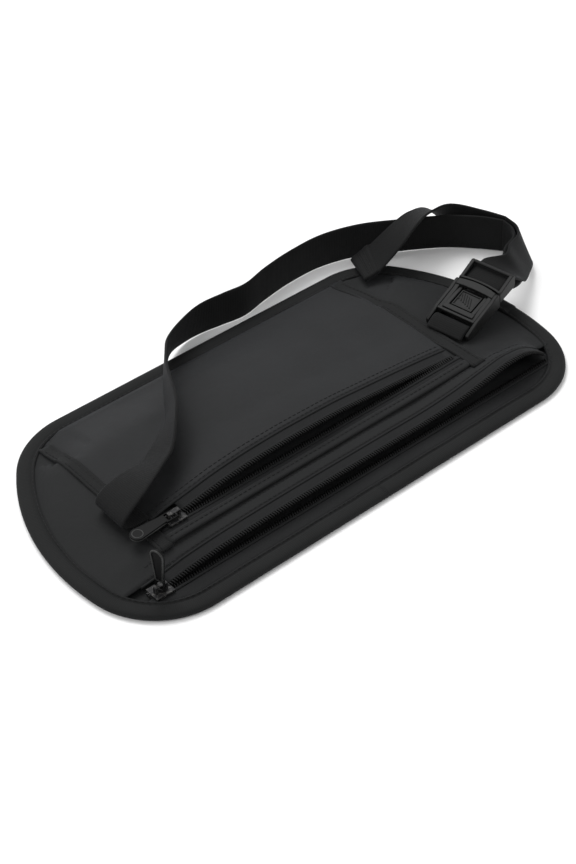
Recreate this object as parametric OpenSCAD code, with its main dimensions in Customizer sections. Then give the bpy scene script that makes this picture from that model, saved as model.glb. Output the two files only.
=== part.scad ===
// Money belt: a flat waist pouch with two zipped pockets, lying on its back,
// with its webbing strap looped behind it and clipped into its buckle.
// +X runs along the pouch, +Y towards its far edge, +Z up. The origin is the
// centre of the pouch's back face, on the surface that it lies on.

/* [Pouch] */
// Length of the pouch, end to end
pouch_l = 268; // [264:1:276]
// Width of the pouch, edge to edge
pouch_w = 132; // [130:1:134]
// Thickness of the bound edge
edge_t = 3.5; // [3.5:0.1:3.8]
// Width of the binding tape on each face
binding_w = 7.8; // [7:0.1:8]
// Thickness of the panel fabric
fabric_t = 0.8; // [0.6:0.1:0.8]
// Height of the front panel's outer face
front_z = 8.6; // [8.6:0.1:9]
// Height of the patch pocket's outer face
patch_z = 16.4; // [16.4:0.1:17]

/* [Zips] */
// Centre line of the main zip
main_zip_y = -47.5; // [-48:0.5:-47]
// Centre line of the patch pocket's zip
patch_zip_y = -24.5; // [-25:0.5:-24]
// Width of one zip tape, with its coil
zip_tape_w = 6.5; // [6:0.1:7]
// Width of one row of coil
coil_w = 2.2; // [2:0.1:2.4]
// Height of the coil
coil_t = 1.4; // [1.2:0.1:1.4]
// Length of a slider
slider_l = 9; // [8:0.5:9.5]
// Length of a pull, from its pivot to its end
pull_l = 22; // [18:1:23]

/* [Webbing] */
// Thickness of the webbing
web_t = 1.4; // [1:0.1:1.5]

/* [Buckle] */
// Width of the buckle across its rails
buckle_w = 23.6; // [23.6:0.1:24.4]
// Heading of the buckle, from the pouch's long axis
buckle_yaw = 11.5; // [11:0.5:12]
// Rise of the buckle towards its plug
buckle_pitch = 12; // [12:0.5:13]

/* [Hidden] */
$fn = 48;

fabric = [0.13, 0.13, 0.14];
tape_colour = [0.10, 0.10, 0.11];
web_colour = [0.07, 0.07, 0.07];
plastic = [0.20, 0.20, 0.21];
metal = [0.25, 0.25, 0.26];

gap = 0.3;    // clearance beside a piece that moves
skin = 0.1;   // height of the thin slabs that a hull spans

// ---- Outline of the pouch: three tangent arcs on each side of its middle ----
side_r = 110;
near_r = 38;
far_r = 40;
side_y = -15;
side_x = pouch_l / 2 - side_r;
near_y = -pouch_w / 2 + near_r;
far_y = pouch_w / 2 - far_r;
near_a = asin((near_y - side_y) / (side_r - near_r));
far_a = asin((far_y - side_y) / (side_r - far_r));
near_x = side_x + (side_r - near_r) * cos(near_a);
far_x = side_x + (side_r - far_r) * cos(far_a);

function arc(cx, cy, r, a0, a1, n) =
    [for (i = [0:n]) let (a = a0 + (a1 - a0) * i / n) [cx + r * cos(a), cy + r * sin(a)]];
function right_half(inset) = concat(
    arc(near_x, near_y, near_r - inset, -90, near_a, 9),
    arc(side_x, side_y, side_r - inset, near_a + 4, far_a - 4, 7),
    arc(far_x, far_y, far_r - inset, far_a, 90, 7));
function flipped(points) = [for (i = [len(points) - 1:-1:0]) [-points[i][0], points[i][1]]];

module outline(inset) polygon(concat(right_half(inset), flipped(right_half(inset))));
module plate(inset, z0, z1) translate([0, 0, z0]) linear_extrude(z1 - z0) outline(inset);
module span(low, high) translate(low) cube(high - low);

// ---- Layers ----
binding_t = 0.8;
groove_z0 = binding_t;
groove_z1 = edge_t - binding_t;
seam_inset = 1;                             // the panels' edges, inside the binding
back_rim = binding_w + 0.9;
front_rim = binding_w + 0.9;
flange_z = groove_z1 - fabric_t;
zip_tape_t = 0.4;
side_tape_t = 0.7;
patch_tape_z = front_z + 1.5;
main_tape_z = groove_z1 - zip_tape_t;
main_fold_y = main_zip_y + zip_tape_w;
patch_fold_y = patch_zip_y + zip_tape_w;
coil_y0 = 0.3;                              // half the gap between the two rows of coil
coil_y1 = coil_y0 + coil_w;
main_half = 113.5;                          // where the main zip runs under the binding
left_tape = [-99, -92.3];
right_tape = [79, 86.5];
side_tapes_y = patch_zip_y - zip_tape_w;
hem_w = 3;
big = 400;

// A panel's dome: its rim follows the outline, its crown is a flat rectangle
front_crown = [[-98, -53], [80, 36]];
patch_crown = [[-49, -31], [19, 5]];
module dome(rim, rim_z, crown, inset, z) {
    hull() {
        plate(rim, rim_z - skin, rim_z);
        span([crown[0][0] + inset, crown[0][1], z - skin], [crown[1][0] - inset, crown[1][1] - inset, z]);
    }
}
module front_dome(drop) dome(front_rim + drop, groove_z1 - drop, front_crown, drop, front_z - drop);
module patch_dome(drop) dome(front_rim + drop, groove_z1 - drop, patch_crown, drop, patch_z - drop);

// ---- Fabric ----
// The back panel's rim is cut away under the main slider's place at rest
module slider_relief() translate([main_slider_x, main_zip_y, edge_t])
    cube([slider_l + 2 * gap, 2 * (slider_hw + gap), 2 * edge_t], center = true);

module back_panel() color(fabric) {
    difference() {
        plate(seam_inset, groove_z0, groove_z0 + fabric_t);
        plate(back_rim, 0, edge_t);
        slider_relief();
    }
    plate(binding_w + gap, 0, groove_z0);
}

module front_panel() color(fabric) {
    difference() {
        union() {
            plate(seam_inset, flange_z, groove_z1);
            front_dome(0);
        }
        front_dome(fabric_t);
        plate(front_rim + fabric_t, 0, flange_z + skin);
        span([-main_half, -big, 0], [main_half, main_fold_y, big]);
        span([-big, -big, 0], [big, main_zip_y - coil_y1, big]);
    }
}

module patch_panel() color(fabric) {
    intersection() {
        difference() {
            patch_dome(0);
            patch_dome(fabric_t);
            front_dome(0);
        }
        span([left_tape[1] + skin, patch_fold_y, 0], [right_tape[0] - skin, big, big]);
    }
}

module side_tape(x) color(tape_colour) {
    intersection() {
        difference() {
            translate([0, 0, side_tape_t]) front_dome(0);
            front_dome(0);
        }
        span([x[0], side_tapes_y, 0], [x[1], pouch_w / 2 - front_rim, big]);
    }
}

module left_side_tape() side_tape(left_tape);
module right_side_tape() side_tape(right_tape);

module edge_binding() color(tape_colour) {
    difference() {
        plate(0, 0, edge_t);
        plate(binding_w, -1, edge_t + 1);
        plate(seam_inset, groove_z0, groove_z1);
    }
}

// ---- Zips: the upper rows follow the lips of the open pockets ----
module lip_band(y0, y1, x0, x1, depth, main) color(tape_colour) {
    intersection() {
        difference() {
            if (main) front_dome(0);
            else patch_dome(0);
            translate([0, 0, -depth])
                if (main) front_dome(0);
                else patch_dome(0);
            if (!main) front_dome(0);
        }
        span([x0, y0, 0], [x1, y1, big]);
    }
}
main_slider_x = -109;
patch_slider_x = -84;
main_lip_x0 = main_slider_x + slider_l / 2 + gap;
patch_lip_x0 = patch_slider_x + slider_l / 2 + gap;

module main_zip_lower_tape() color(tape_colour) {
    intersection() {
        plate(seam_inset, main_tape_z, groove_z1);
        span([-big, -big, 0], [big, main_zip_y - coil_y1, edge_t]);
    }
}
module main_zip_upper_tape()
    lip_band(main_zip_y + coil_y1, main_fold_y, main_lip_x0, main_half, zip_tape_t, true);
module main_zip_lower_coil() color(tape_colour)
    span([-main_half, main_zip_y - coil_y1, main_tape_z - 0.4],
        [main_half, main_zip_y - coil_y0, main_tape_z - 0.4 + coil_t]);
module main_zip_upper_coil()
    translate([0, 0, coil_t - zip_tape_t])
        lip_band(main_zip_y + coil_y0, main_zip_y + coil_y1, main_lip_x0, main_half, coil_t, true);

module patch_zip_lower_tape() color(tape_colour) {
    span([left_tape[1] + skin, side_tapes_y, patch_tape_z],
        [right_tape[0] - skin, patch_zip_y - coil_y1, patch_tape_z + zip_tape_t]);
    span([left_tape[1] + skin, side_tapes_y - hem_w, front_z],
        [right_tape[0] - skin, side_tapes_y, patch_tape_z + zip_tape_t]);
}
module patch_zip_upper_tape()
    lip_band(patch_zip_y + coil_y1, patch_fold_y, patch_lip_x0, right_tape[0] - skin, zip_tape_t, false);
module patch_zip_lower_coil() color(tape_colour)
    span([left_tape[1] + skin, patch_zip_y - coil_y1, patch_tape_z - 0.4],
        [right_tape[0] - skin, patch_zip_y - coil_y0, patch_tape_z - 0.4 + coil_t]);
module patch_zip_upper_coil()
    translate([0, 0, coil_t - zip_tape_t])
        lip_band(patch_zip_y + coil_y0, patch_zip_y + coil_y1, patch_lip_x0, right_tape[0] - skin,
            coil_t, false);

// A slider, centred on the coil's mid-height: two plates joined by a wedge,
// with a bridge on top that holds the pull
plate_t = 0.7;
slider_hw = 3.8;
coil_gap = 0.25;
channel = coil_t / 2 + coil_gap;
bridge_hw = 1;
bridge_l = 6;
bridge_post = 0.8;
wedge_l = 2.5;
bridge_clear = 2.2;
pivot_h = channel + plate_t + 1.2;
module slider_body() color(metal) {
    for (side = [-1, 1]) translate([-slider_l / 2, -slider_hw, side > 0 ? channel : -channel - plate_t])
        cube([slider_l, 2 * slider_hw, plate_t]);
    // the lips that close on the tapes
    for (side = [-1, 1], level = [-1, 1])
        translate([-slider_l / 2, side > 0 ? slider_hw - plate_t : -slider_hw,
            level > 0 ? coil_gap + zip_tape_t : -channel])
            cube([slider_l, plate_t, channel - coil_gap - zip_tape_t]);
    // the wedge between the two rows
    translate([slider_l / 2 - wedge_l, coil_gap - coil_y0, -channel])
        cube([wedge_l, 2 * coil_y0, 2 * channel]);
    // the bridge
    difference() {
        translate([-bridge_l / 2, -bridge_hw, channel])
            cube([bridge_l, 2 * bridge_hw, plate_t + bridge_clear + plate_t]);
        translate([-bridge_l / 2 + bridge_post, -big, channel + plate_t])
            cube([bridge_l - 2 * bridge_post, 2 * big, bridge_clear]);
    }
}

// A pull, lying along +X from its pivot: solid on top with a round recess,
// hollow underneath with a thin rim
pull_t = 1.6;
stem_hw = 2.4;
end_r = 3.4;
fork_w = 0.55;
fork_l = 4.5;
pin_r = 0.6;
module pull_body() color(plastic) {
    difference() {
        translate([0, 0, -pull_t / 2]) linear_extrude(pull_t) {
            translate([fork_l, -stem_hw]) square([pull_l - end_r - fork_l, 2 * stem_hw]);
            translate([pull_l - end_r, 0]) circle(end_r);
        }
        translate([pull_l - end_r, 0, 0.3]) cylinder(h = pull_t, r = end_r - 0.9);
        translate([6, -stem_hw + 0.6, -pull_t]) cube([pull_l - end_r - 6, 2 * (stem_hw - 0.6), pull_t - 0.5]);
        translate([pull_l - end_r, 0, -pull_t]) cylinder(h = pull_t - 0.5, r = end_r - 0.7);
    }
    for (side = [-1, 1]) translate([-1, side > 0 ? stem_hw - fork_w : -stem_hw, -0.6])
        cube([6, fork_w, 1.2]);
    rotate([90, 0, 0]) cylinder(h = 2 * stem_hw - fork_w, r = pin_r, center = true);
}

main_coil_z = main_tape_z - 0.4 + coil_t / 2;
patch_coil_z = patch_tape_z - 0.4 + coil_t / 2;
main_pull_rise = 88;
main_pull_turn = 15;
module main_slider() translate([main_slider_x, main_zip_y, main_coil_z]) slider_body();
module main_pull() translate([main_slider_x, main_zip_y, main_coil_z + pivot_h])
    rotate([0, 0, main_pull_turn]) rotate([0, main_pull_rise, 0]) rotate([0, 0, 180]) pull_body();
module patch_slider() translate([patch_slider_x, patch_zip_y, patch_coil_z]) slider_body();
module patch_pull() translate([patch_slider_x, patch_zip_y, patch_coil_z + pivot_h])
    rotate([0, 0, 180]) pull_body();

// ---- Webbing: a flat ribbon swept between its two edges ----
function spline(p, i, t) =
    let (n = len(p) - 1, a = p[max(i - 1, 0)], b = p[i], c = p[min(i + 1, n)], d = p[min(i + 2, n)])
    0.5 * (2 * b + (c - a) * t + (2 * a - 5 * b + 4 * c - d) * t * t + (3 * b - a - 3 * c + d) * t * t * t);
function dense(p, k) = [for (i = [0:len(p) - 2], j = [0:k - 1]) spline(p, i, j / k), p[len(p) - 1]];
function unit(v) = v / norm(v);
module ribbon(edge0, edge1, t, k) {
    low = dense(edge0, k);
    high = dense(edge1, k);
    n = len(low);
    along = [for (i = [0:n - 1]) (low[min(i + 1, n - 1)] + high[min(i + 1, n - 1)])
        - (low[max(i - 1, 0)] + high[max(i - 1, 0)])];
    face = [for (i = [0:n - 1]) unit(cross(along[i], high[i] - low[i])) * t / 2];
    points = [for (i = [0:n - 1]) each
        [low[i] - face[i], high[i] - face[i], high[i] + face[i], low[i] + face[i]]];
    sides = [for (i = [0:n - 2], j = [0:3]) each
        [[4 * i + j, 4 * i + (j + 1) % 4, 4 * i + 4 + (j + 1) % 4],
         [4 * i + j, 4 * i + 4 + (j + 1) % 4, 4 * i + 4 + j]]];
    last = 4 * (n - 1);
    polyhedron(points, concat(sides, [[3, 2, 1, 0], [last, last + 1, last + 2, last + 3]]), 10);
}

// The strap leaves the left side tape's seam, turns back over itself, leans across
// the pouch and stands on edge behind it
strap_low = [[-91.5, 2, 10.4], [-98, 2, 10.4], [-103, 2, 11.6], [-104.4, 2, 14.2], [-102.5, 2.4, 16.8],
    [-97, 3.6, 18], [-87, 6, 17], [-76, 8, 14.6], [-66, 13, 15], [-52, 22.5, 13.4], [-41, 37, 10.2],
    [-32, 50, 7.6], [-23, 60.5, 5.6], [-14, 69, 3], [-4, 73, 0.6], [8, 74, 0], [20, 72.5, 0],
    [33, 71, 0], [48, 74, 0], [66, 76.5, 0], [86, 76.5, 0], [106, 71, 0], [124, 61, 0], [135, 54.5, 0]];
strap_high = [[-91.5, -18, 10.4], [-98, -18, 10.4], [-103, -18, 11.6], [-104.4, -18, 14.2],
    [-102.5, -17.6, 17], [-97, -16.2, 19.6], [-87, -13, 22.4], [-76, -8.6, 25], [-66, -3, 27],
    [-52, 13, 31], [-42.5, 29, 28.3], [-35, 42.5, 25.3], [-27.5, 53, 22.8], [-19.5, 62, 19.8],
    [-8, 68, 19.6], [6, 72, 20], [20, 71.5, 20], [33, 70.5, 20], [48, 74, 20], [66, 76.5, 20],
    [86, 76.5, 20], [106, 71, 20], [124, 61, 20], [135, 54.5, 20]];
bend_low = [[136, 53.8, 0], [147, 46, 0], [157, 36, 0], [164.5, 27, 0], [167, 17, 0.6], [163, 8.5, 2],
    [154, 1.5, 4.5], [143, -5, 8.5], [136, -8.6, 13.5], [131.9, -10.1, 17.4]];
bend_high = [[136, 53.8, 20], [147, 46, 20], [157, 36, 20], [163, 27, 20], [161.5, 20, 20], [156, 14, 20.5],
    [146, 10, 21], [138.5, 6.5, 20.5], [132.5, 8, 19], [128, 9.1, 17.4]];
tail_bend_low = [[130.9, -10.3, 22], [136.6, -9.6, 18.2], [144.3, -6.8, 10.4], [155.4, 0.2, 6],
    [165, 7.3, 2.9], [169.2, 16.4, 1.2], [166.7, 27.6, 0.8], [160.5, 39, 1.5], [153, 52.5, 7],
    [142, 59.5, 18.5], [133, 60.6, 21.6]];
tail_bend_high = [[127, 8.9, 22], [132.4, 8.6, 23], [139.8, 4.2, 22.8], [147.4, 8.6, 22.8],
    [158, 13, 21.4], [163.7, 19.6, 20.8], [165, 27.6, 20.8], [159.5, 38.5, 21.5],
    [147, 48.5, 25.5], [131, 47, 28], [122.5, 45.5, 27]];
tail_low = [[131.5, 60.7, 21.4], [121, 60.2, 21.2], [108, 64, 11], [97, 66, 4.5]];
tail_high = [[121, 45.2, 26.6], [110, 44, 21], [98.5, 46, 11.5], [88.8, 46.8, 7.8]];

module waist_strap() color(web_colour) ribbon(strap_low, strap_high, web_t, 3);
module strap_bend() color(web_colour) ribbon(bend_low, bend_high, web_t, 4);
module strap_tail_bend() color(web_colour) ribbon(tail_bend_low, tail_bend_high, web_t, 4);
module strap_tail() color(web_colour) ribbon(tail_low, tail_high, web_t, 4);

// ---- Buckle, in its own frame: +X towards the plug, +Z out of its face ----
buckle_at = [88, -9, 11];
module in_buckle() translate(buckle_at) rotate([0, -buckle_pitch, buckle_yaw]) children();
hw = buckle_w / 2;
rail_w = 1.7;
rail_x0 = 1;
rail_z = 2.4;
side_wall = 3.3;
bar_r = 1.2;
loop_bar = [5.2, -0.5];
body_x0 = 8.2;
body_x1 = 28.2;
window = [12.6, 24];
window_hw = 6.1;
floor_z = [-4.2, -3.2];
top_z = [1.7, 3.2];
collar_z = [3.1, 4.6];
web_hw = 9.8;

module cross_bar(x, z, r, half) translate([x, 0, z]) rotate([90, 0, 0])
    cylinder(h = 2 * half, r = r, center = true);

module buckle_socket() in_buckle() color(plastic) {
    span([body_x0, -hw, floor_z[0]], [body_x1, hw, floor_z[1]]);
    for (side = [-1, 1]) {
        span([body_x0, side > 0 ? hw - side_wall : -hw, floor_z[1]],
            [body_x1, side > 0 ? hw : -hw + side_wall, top_z[1]]);
        span([window[1], side > 0 ? hw - side_wall : -hw, top_z[1]],
            [body_x1, side > 0 ? hw : -hw + side_wall, collar_z[1]]);
        span([body_x0, side > 0 ? window_hw : -hw + side_wall, top_z[0]],
            [window[1], side > 0 ? hw - side_wall : -window_hw, top_z[1]]);
        span([rail_x0, side > 0 ? hw - rail_w : -hw, -rail_z],
            [body_x0, side > 0 ? hw : -hw + rail_w, rail_z]);
    }
    span([body_x0, -window_hw, top_z[0]], [window[0], window_hw, top_z[1]]);
    span([window[1], -hw + side_wall, collar_z[0]], [body_x1, hw - side_wall, collar_z[1]]);
    cross_bar(loop_bar[0], loop_bar[1], bar_r, hw - rail_w);
}

// The folded webbing that ties the socket to the right side tape
loop_x0 = 1;
module buckle_loop() in_buckle() color(web_colour) {
    inner = bar_r + 0.1;
    outer = inner + 1.1;
    difference() {
        union() {
            cross_bar(loop_bar[0], loop_bar[1], outer, web_hw);
            span([loop_x0, -web_hw, loop_bar[1] - outer], [loop_bar[0], web_hw, loop_bar[1] + outer]);
        }
        cross_bar(loop_bar[0], loop_bar[1], inner, web_hw + 1);
        span([-1, -web_hw - 1, loop_bar[1] - inner], [loop_bar[0], web_hw + 1, loop_bar[1] + inner]);
    }
}

plug_hw = buckle_w / 2 - 0.2;
arm_hw = 8.2;
arm_x = [11.2, 27.2];
arm_z = [-1, 0.6];
plug_bar_x = 32.4;
rise_x = 37.6;
end_x = 41.8;
end_bar = [40.5, 4.4];
module buckle_plug() in_buckle() color(plastic) {
    for (side = [-1, 1]) {
        span([arm_x[0], side > 0 ? window_hw : -arm_hw, arm_z[0]],
            [arm_x[1], side > 0 ? arm_hw : -window_hw, arm_z[1]]);
        span([body_x1 + gap, side > 0 ? plug_hw - rail_w : -plug_hw, -rail_z],
            [rise_x, side > 0 ? plug_hw : -plug_hw + rail_w, top_z[1]]);
        span([rise_x, side > 0 ? plug_hw - rail_w : -plug_hw, -rail_z],
            [end_x, side > 0 ? plug_hw : -plug_hw + rail_w, end_bar[1] + 1]);
    }
    span([arm_x[1], -arm_hw, arm_z[0]], [body_x1 + gap, arm_hw, arm_z[1]]);
    span([body_x1 + gap, -plug_hw, -1], [body_x1 + gap + 1.2, plug_hw, 0.6]);
    cross_bar(plug_bar_x, 0, bar_r, plug_hw - 0.5);
    cross_bar(end_bar[0], end_bar[1], 1, plug_hw - 0.5);
}

module strap_wrap() in_buckle() color(web_colour) {
    inner = bar_r + 0.1;
    outer = inner + web_t;
    difference() {
        union() {
            cross_bar(plug_bar_x, 0, outer, web_hw);
            span([plug_bar_x, -web_hw, -outer], [end_x + 0.6, web_hw, outer]);
        }
        cross_bar(plug_bar_x, 0, inner, web_hw + 1);
        span([plug_bar_x, -web_hw - 1, -inner], [end_x + 2, web_hw + 1, inner]);
    }
}

tab_hw = 5.5;
tab_x = [13.2, 26.8];
pad_x = 23.3;
module push_tab() in_buckle() color(plastic) {
    span([tab_x[0], -tab_hw, -0.9], [tab_x[1], tab_hw, 0.5]);
    span([tab_x[0], -tab_hw, 0.5], [pad_x, tab_hw, 2.9]);
}

back_panel();
front_panel();
patch_panel();
left_side_tape();
right_side_tape();
edge_binding();
main_zip_lower_tape();
main_zip_upper_tape();
main_zip_lower_coil();
main_zip_upper_coil();
patch_zip_lower_tape();
patch_zip_upper_tape();
patch_zip_lower_coil();
patch_zip_upper_coil();
main_slider();
main_pull();
patch_slider();
patch_pull();
waist_strap();
strap_bend();
strap_wrap();
strap_tail_bend();
strap_tail();
buckle_loop();
buckle_socket();
buckle_plug();
push_tab();
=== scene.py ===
import bmesh
import bpy
import math
import numpy as np
from mathutils import Matrix, Vector, noise


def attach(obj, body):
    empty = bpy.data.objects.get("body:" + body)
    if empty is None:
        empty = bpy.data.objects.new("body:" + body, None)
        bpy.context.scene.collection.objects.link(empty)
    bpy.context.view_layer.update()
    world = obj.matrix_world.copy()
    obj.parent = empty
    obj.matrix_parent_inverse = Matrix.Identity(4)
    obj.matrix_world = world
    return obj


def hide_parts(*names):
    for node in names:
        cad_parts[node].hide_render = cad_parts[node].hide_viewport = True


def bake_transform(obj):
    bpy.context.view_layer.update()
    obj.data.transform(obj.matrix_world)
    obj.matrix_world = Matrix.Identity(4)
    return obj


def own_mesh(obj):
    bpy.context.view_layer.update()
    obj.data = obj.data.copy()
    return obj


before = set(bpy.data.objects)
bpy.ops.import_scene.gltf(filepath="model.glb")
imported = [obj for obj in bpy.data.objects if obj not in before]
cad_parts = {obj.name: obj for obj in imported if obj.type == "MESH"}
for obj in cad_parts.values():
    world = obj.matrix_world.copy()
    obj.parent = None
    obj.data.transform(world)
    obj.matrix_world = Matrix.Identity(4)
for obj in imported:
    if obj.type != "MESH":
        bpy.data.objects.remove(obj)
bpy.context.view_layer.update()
MM = 0.001


# ---------------------------------------------------------------- materials
class Nodes:
    """A material's node tree, with short calls for the usual nodes."""

    def __init__(self, name):
        self.mat = bpy.data.materials.new(name)
        self.mat.use_nodes = True
        self.tree = self.mat.node_tree
        self.bsdf = self.tree.nodes["Principled BSDF"]

    def add(self, kind, **values):
        node = self.tree.nodes.new(kind)
        for key, value in values.items():
            setattr(node, key, value)
        return node

    def link(self, a, b):
        self.tree.links.new(a, b)

    def feed(self, socket, value):
        if isinstance(value, (int, float)):
            socket.default_value = value
        else:
            self.link(value, socket)

    def math(self, operation, a, b=0.0):
        node = self.add("ShaderNodeMath", operation=operation)
        self.feed(node.inputs[0], a)
        self.feed(node.inputs[1], b)
        return node.outputs[0]

    def coords(self, kind):
        """X, Y and Z in millimetres: along and across a strip for UV, or the row frame's."""
        if kind == "UV":
            source = self.add("ShaderNodeUVMap", uv_map="mm").outputs[0]
            scale = 1.0
        else:
            source = self.add("ShaderNodeTexCoord").outputs["Object"]
            scale = 1000.0
        split = self.add("ShaderNodeSeparateXYZ")
        vector = self.add("ShaderNodeVectorMath", operation="SCALE")
        self.link(source, vector.inputs[0])
        vector.inputs["Scale"].default_value = scale
        self.link(vector.outputs[0], split.inputs[0])
        return vector.outputs[0], split.outputs

    def noise(self, vector, scale, detail=3.0, rough=0.55):
        node = self.add("ShaderNodeTexNoise")
        self.link(vector, node.inputs["Vector"])
        node.inputs["Scale"].default_value = scale
        node.inputs["Detail"].default_value = detail
        node.inputs["Roughness"].default_value = rough
        return node.outputs["Fac"]

    def wave(self, coordinate, pitch):
        """A sine of that pitch in millimetres, from -1 to 1."""
        return self.math("SINE", self.math("MULTIPLY", coordinate, 2 * math.pi / pitch))

    def ramp(self, fac, low, high):
        """Spreads a noise, which mostly lies between 0.25 and 0.75, from low to high."""
        node = self.add("ShaderNodeMapRange")
        self.feed(node.inputs["Value"], fac)
        node.inputs["From Min"].default_value = 0.25
        node.inputs["From Max"].default_value = 0.75
        node.inputs["To Min"].default_value = low
        node.inputs["To Max"].default_value = high
        return node.outputs["Result"]

    def mix(self, fac, a, b):
        node = self.add("ShaderNodeMix", data_type="RGBA")
        self.feed(node.inputs["Factor"], fac)
        for socket, value in ((node.inputs[6], a), (node.inputs[7], b)):
            if isinstance(value, tuple):
                socket.default_value = (*value, 1.0)
            else:
                self.link(value, socket)
        return node.outputs[2]

    def bump(self, height, distance_mm, strength=1.0, normal=None):
        node = self.add("ShaderNodeBump")
        node.inputs["Strength"].default_value = strength
        node.inputs["Distance"].default_value = distance_mm * MM
        self.link(height, node.inputs["Height"])
        if normal is not None:
            self.link(normal, node.inputs["Normal"])
        return node.outputs[0]


def cloth_material(name, low, high, kind, coords, pitch, rough, sheen, specular, depth):
    """Woven cloth. low and high are its darkest and lightest colours."""
    n = Nodes(name)
    vector, axis = n.coords(coords)
    blotch = n.noise(vector, 0.035, 3.0)
    fuzz = n.noise(vector, 2.2, 2.0, 0.7)
    if kind == "plain":
        warp = n.wave(axis[0], pitch)
        weft = n.wave(axis[1], pitch)
        height = n.math("MULTIPLY", warp, weft)
    elif kind == "twill":
        warp = n.wave(n.math("ADD", axis[0], axis[1]), pitch)
        weft = n.wave(n.math("SUBTRACT", axis[0], axis[1]), pitch * 0.5)
        height = n.math("ADD", warp, n.math("MULTIPLY", weft, 0.4))
    else:
        # ribs across the strip, and finer cords along it
        warp = n.wave(axis[0], pitch)
        weft = n.wave(axis[1], pitch * 0.62)
        height = n.math("ADD", n.math("MULTIPLY", warp, 0.6), n.math("MULTIPLY", weft, 0.55))
    grain = n.math("ADD", n.math("MULTIPLY", height, 0.11), n.math("MULTIPLY", fuzz, 0.42))
    shade = n.math("ADD", n.math("MULTIPLY", n.ramp(blotch, 0.0, 1.0), 0.6), grain)
    n.link(n.mix(shade, low, high), n.bsdf.inputs["Base Color"])
    n.link(n.ramp(fuzz, rough - 0.07, rough + 0.06), n.bsdf.inputs["Roughness"])
    n.bsdf.inputs["Specular IOR Level"].default_value = specular
    n.bsdf.inputs["Sheen Weight"].default_value = sheen
    n.bsdf.inputs["Sheen Roughness"].default_value = 0.45
    n.bsdf.inputs["Sheen Tint"].default_value = (0.86, 0.89, 1.0, 1.0)
    soft = n.bump(n.noise(vector, 0.09, 2.0), 0.35, 0.5)
    thread = n.bump(height, depth, 0.7, soft)
    n.link(n.bump(fuzz, depth * 0.7, 0.5, thread), n.bsdf.inputs["Normal"])
    return n.mat


def plastic_material(name, low, high, rough, grain, depth, specular):
    """Moulded plastic with a fine sparked texture and a few handling marks."""
    n = Nodes(name)
    vector, _ = n.coords("OBJECT")
    spark = n.noise(vector, 3.4, 4.0, 0.6)
    cloud = n.noise(vector, 0.16, 3.0)
    n.link(n.mix(n.ramp(cloud, 0.0, 1.0), low, high), n.bsdf.inputs["Base Color"])
    wear = n.math("ADD", n.math("MULTIPLY", spark, grain), n.math("MULTIPLY", cloud, 0.12))
    n.link(n.math("ADD", wear, rough - grain / 2 - 0.06), n.bsdf.inputs["Roughness"])
    n.bsdf.inputs["Specular IOR Level"].default_value = specular
    n.link(n.bump(spark, depth, 0.6), n.bsdf.inputs["Normal"])
    return n.mat


def metal_material(name):
    """Black lacquered die-cast zinc, scratched through here and there."""
    n = Nodes(name)
    vector, _ = n.coords("OBJECT")
    scratch = n.noise(vector, 1.6, 4.0, 0.7)
    worn = n.ramp(n.noise(vector, 0.7, 3.0, 0.8), -1.6, 1.6)
    n.link(n.mix(worn, (0.010, 0.010, 0.011), (0.07, 0.068, 0.064)), n.bsdf.inputs["Base Color"])
    n.bsdf.inputs["Metallic"].default_value = 0.35
    n.link(n.ramp(scratch, 0.42, 0.62), n.bsdf.inputs["Roughness"])
    n.bsdf.inputs["Specular IOR Level"].default_value = 0.25
    n.link(n.bump(scratch, 0.03, 0.4), n.bsdf.inputs["Normal"])
    return n.mat


M_PANEL = cloth_material("panel_nylon", (0.0066, 0.0070, 0.0072), (0.0112, 0.0117, 0.0120),
                         "plain", "OBJECT", 0.62, 0.74, 0.035, 0.21, 0.06)
# the patch's nylon is the panel's nylon made lighter: partly its own tone, partly a painted highlight from
# how the light falls on it
M_PATCH_PARTLY_PAINTED_LIGHT = cloth_material("patch_nylon_partly_painted_highlight", (0.0074, 0.0078, 0.0083), (0.0130, 0.0136, 0.0144),
                         "plain", "OBJECT", 0.62, 0.70, 0.04, 0.23, 0.06)
M_LINING = cloth_material("lining_nylon", (0.0036, 0.0038, 0.004), (0.006, 0.0062, 0.0066),
                          "plain", "OBJECT", 0.62, 0.85, 0.01, 0.1, 0.05)
M_BIND = cloth_material("binding_ribbon", (0.0050, 0.0053, 0.0053), (0.0090, 0.0094, 0.0094),
                        "rib", "UV", 0.9, 0.78, 0.03, 0.19, 0.05)
M_ZIPTAPE = cloth_material("zip_tape_twill", (0.0050, 0.0053, 0.0055), (0.0092, 0.0096, 0.0100),
                           "twill", "OBJECT", 0.8, 0.78, 0.03, 0.2, 0.05)
M_WEB = cloth_material("elastic_webbing", (0.0032, 0.0033, 0.0033), (0.0064, 0.0066, 0.0066),
                       "rib", "UV", 0.95, 0.8, 0.03, 0.17, 0.07)
M_THREAD = cloth_material("sewing_thread", (0.006, 0.006, 0.0064), (0.012, 0.012, 0.0125),
                          "twill", "OBJECT", 0.35, 0.65, 0.03, 0.22, 0.03)
M_COIL = plastic_material("nylon_coil", (0.005, 0.005, 0.0052), (0.008, 0.008, 0.0083),
                          0.55, 0.1, 0.01, 0.2)
M_BUCKLE = plastic_material("buckle_acetal", (0.0050, 0.0052, 0.0052), (0.0080, 0.0083, 0.0083),
                            0.5, 0.14, 0.03, 0.18)
M_PULL = plastic_material("pull_rubber", (0.0036, 0.0037, 0.0038), (0.0060, 0.0061, 0.0062),
                          0.56, 0.14, 0.02, 0.1)
# a lighter copy of the pull rubber for the beads on the pulls: a painted highlight on the rim and the ring
M_PULL_BEAD_PAINTED_HIGHLIGHT = plastic_material("pull_rubber_painted_highlight", (0.016, 0.0165, 0.016), (0.026, 0.0265, 0.026),
                              0.5, 0.14, 0.02, 0.3)
M_METAL = metal_material("slider_black_zinc")


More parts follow.
